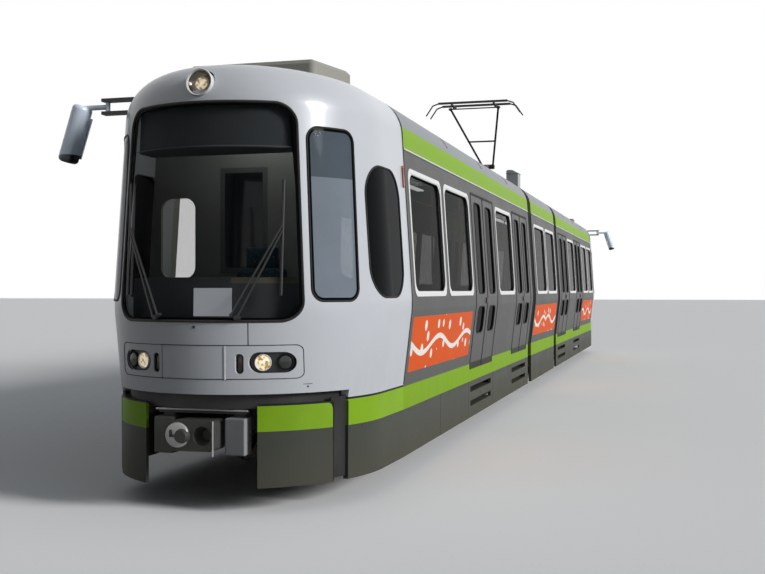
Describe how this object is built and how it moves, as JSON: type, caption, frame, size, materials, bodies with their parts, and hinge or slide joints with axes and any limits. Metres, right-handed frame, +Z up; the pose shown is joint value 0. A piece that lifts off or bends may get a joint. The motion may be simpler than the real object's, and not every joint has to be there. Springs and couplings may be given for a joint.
{
  "type": "articulated tram",
  "caption": "Double-ended articulated city tram: two cab sections hinged to a short middle section with pleated bellows, bogies, doors and a single-arm pantograph.",
  "frame": {"origin": "on the floor under the middle of the tram, level with the wheel flanges", "axes": "+X to the front cab, +Y to the vehicle's left, +Z up"},
  "size_m": [25.6594, 3.715, 5.4083],
  "materials": {
    "silver_paint": "metallic lacquer",
    "side_paint": "metallic lacquer",
    "roof_paint": "matt lacquer",
    "beige_paint": "matt lacquer",
    "frame_paint": "dusty dark paint",
    "skirt_paint": "satin lacquer",
    "bright_aluminium": "brushed anodised",
    "dark_glass": "tinted",
    "window_glass": "tinted",
    "lamp_glass": "clear moulded",
    "black_plastic": "matt",
    "grey_plastic": "grained",
    "seat_shell": "grained",
    "coupler_iron": "painted casting",
    "mirror_shell": "lacquered",
    "wheel_steel": "worn tread",
    "pantograph_steel": "matt lacquer",
    "bellows_rubber": "pleated"
  },
  "bodies": {
    "middle": {"middle_sides": "side_paint", "middle_roof": "roof_paint", "middle_floor": "frame_paint", "middle_window_frames": "bright_aluminium", "middle_windows": "window_glass", "middle_skirts": "skirt_paint", "middle_seats": "seat_shell", "middle_bogie": "frame_paint", "pantograph_base": "pantograph_steel", "pantograph_drive": "grey_plastic", "front_bellows": "bellows_rubber", "rear_bellows": "bellows_rubber"},
    "middle_front_axle": {"middle_wheelset_front": "wheel_steel"},
    "middle_rear_axle": {"middle_wheelset_rear": "wheel_steel"},
    "pan_lower": {"pantograph_lower_arm": "pantograph_steel"},
    "pan_upper": {"pantograph_upper_arm": "pantograph_steel"},
    "pan_top": {"pantograph_head": "pantograph_steel"},
    "front_section": {"front_cab_shell": "silver_paint", "front_cab_glass": "dark_glass", "front_lamps": "lamp_glass", "front_cab_fittings": "black_plastic", "front_cab_furniture": "grey_plastic", "front_partition": "grey_plastic", "front_sides": "side_paint", "front_roof": "roof_paint", "front_roof_box": "beige_paint", "front_floor": "frame_paint", "front_underframe": "frame_paint", "front_window_frames": "bright_aluminium", "front_windows": "window_glass", "front_doors": "side_paint", "front_skirts": "skirt_paint", "front_seats": "seat_shell"},
    "front_coupler_body": {"front_coupler": "coupler_iron"},
    "front_mirror_body": {"front_mirror": "mirror_shell"},
    "front_bogie_body": {"front_bogie": "frame_paint"},
    "front_outer_axle": {"front_wheelset_outer": "wheel_steel"},
    "front_inner_axle": {"front_wheelset_inner": "wheel_steel"},
    "rear_section": {"rear_cab_shell": "silver_paint", "rear_cab_glass": "dark_glass", "rear_lamps": "lamp_glass", "rear_cab_fittings": "black_plastic", "rear_cab_furniture": "grey_plastic", "rear_partition": "grey_plastic", "rear_sides": "side_paint", "rear_roof": "roof_paint", "rear_roof_box": "beige_paint", "rear_floor": "frame_paint", "rear_underframe": "frame_paint", "rear_window_frames": "bright_aluminium", "rear_windows": "window_glass", "rear_doors": "side_paint", "rear_skirts": "skirt_paint", "rear_seats": "seat_shell"},
    "rear_coupler_body": {"rear_coupler": "coupler_iron"},
    "rear_mirror_body": {"rear_mirror": "mirror_shell"},
    "rear_bogie_body": {"rear_bogie": "frame_paint"},
    "rear_outer_axle": {"rear_wheelset_outer": "wheel_steel"},
    "rear_inner_axle": {"rear_wheelset_inner": "wheel_steel"}
  },
  "joints": [
    {"name": "middle_front_axle_turn", "type": "hinge", "parent": "middle", "child": "middle_front_axle", "pos_m": [0.95, 0, 0.392], "axis": [0, 1, 0], "continuous": true},
    {"name": "middle_rear_axle_turn", "type": "hinge", "parent": "middle", "child": "middle_rear_axle", "pos_m": [-0.95, 0, 0.392], "axis": [0, 1, 0], "continuous": true},
    {"name": "front_articulation", "type": "hinge", "parent": "middle", "child": "front_section", "pos_m": [1.93, 0, 0.65], "axis": [0, 0, 1], "range_deg": [-15, 15], "deforming": ["front_bellows"]},
    {"name": "front_bogie_yaw", "type": "hinge", "parent": "front_section", "child": "front_bogie_body", "pos_m": [9, 0, 0.7], "axis": [0, 0, 1], "range_deg": [-8, 8]},
    {"name": "front_outer_axle_turn", "type": "hinge", "parent": "front_bogie_body", "child": "front_outer_axle", "pos_m": [9.95, 0, 0.392], "axis": [0, 1, 0], "continuous": true},
    {"name": "front_inner_axle_turn", "type": "hinge", "parent": "front_bogie_body", "child": "front_inner_axle", "pos_m": [8.05, 0, 0.392], "axis": [0, 1, 0], "continuous": true},
    {"name": "front_coupler_swing", "type": "hinge", "parent": "front_section", "child": "front_coupler_body", "pos_m": [11.64, 0, 0.65], "axis": [0, 0, 1], "range_deg": [-4, 4]},
    {"name": "front_mirror_fold", "type": "hinge", "parent": "front_section", "child": "front_mirror_body", "pos_m": [11.75, -1.36, 3.55], "axis": [0, 0, 1], "range_deg": [-90, 0]},
    {"name": "rear_articulation", "type": "hinge", "parent": "middle", "child": "rear_section", "pos_m": [-1.93, 0, 0.65], "axis": [0, 0, 1], "range_deg": [-15, 15], "deforming": ["rear_bellows"]},
    {"name": "rear_bogie_yaw", "type": "hinge", "parent": "rear_section", "child": "rear_bogie_body", "pos_m": [-9, 0, 0.7], "axis": [0, 0, 1], "range_deg": [-8, 8]},
    {"name": "rear_outer_axle_turn", "type": "hinge", "parent": "rear_bogie_body", "child": "rear_outer_axle", "pos_m": [-9.95, 0, 0.392], "axis": [0, 1, 0], "continuous": true},
    {"name": "rear_inner_axle_turn", "type": "hinge", "parent": "rear_bogie_body", "child": "rear_inner_axle", "pos_m": [-8.05, 0, 0.392], "axis": [0, 1, 0], "continuous": true},
    {"name": "rear_coupler_swing", "type": "hinge", "parent": "rear_section", "child": "rear_coupler_body", "pos_m": [-11.64, 0, 0.65], "axis": [0, 0, 1], "range_deg": [-4, 4]},
    {"name": "rear_mirror_fold", "type": "hinge", "parent": "rear_section", "child": "rear_mirror_body", "pos_m": [-11.75, 1.36, 3.55], "axis": [0, 0, 1], "range_deg": [-90, 0]},
    {"name": "pantograph_raise", "type": "hinge", "parent": "middle", "child": "pan_lower", "pos_m": [0.45, 0, 4], "axis": [0, 1, 0], "range_deg": [-13, 10]},
    {"name": "pantograph_knee", "type": "hinge", "parent": "pan_lower", "child": "pan_upper", "pos_m": [-0.854, 0, 4.34941], "axis": [0, 1, 0], "range_deg": [-30.7, 39.9]},
    {"name": "pantograph_head_level", "type": "hinge", "parent": "pan_upper", "child": "pan_top", "pos_m": [0.61367, 0, 5.30252], "axis": [0, 1, 0], "range_deg": [-26.9, 20.7]}
  ],
  "couplings": [
    {"joint": "pantograph_knee", "follows": "pantograph_raise", "ratio": -3.06},
    {"joint": "pantograph_head_level", "follows": "pantograph_raise", "ratio": 2.06}
  ]
}
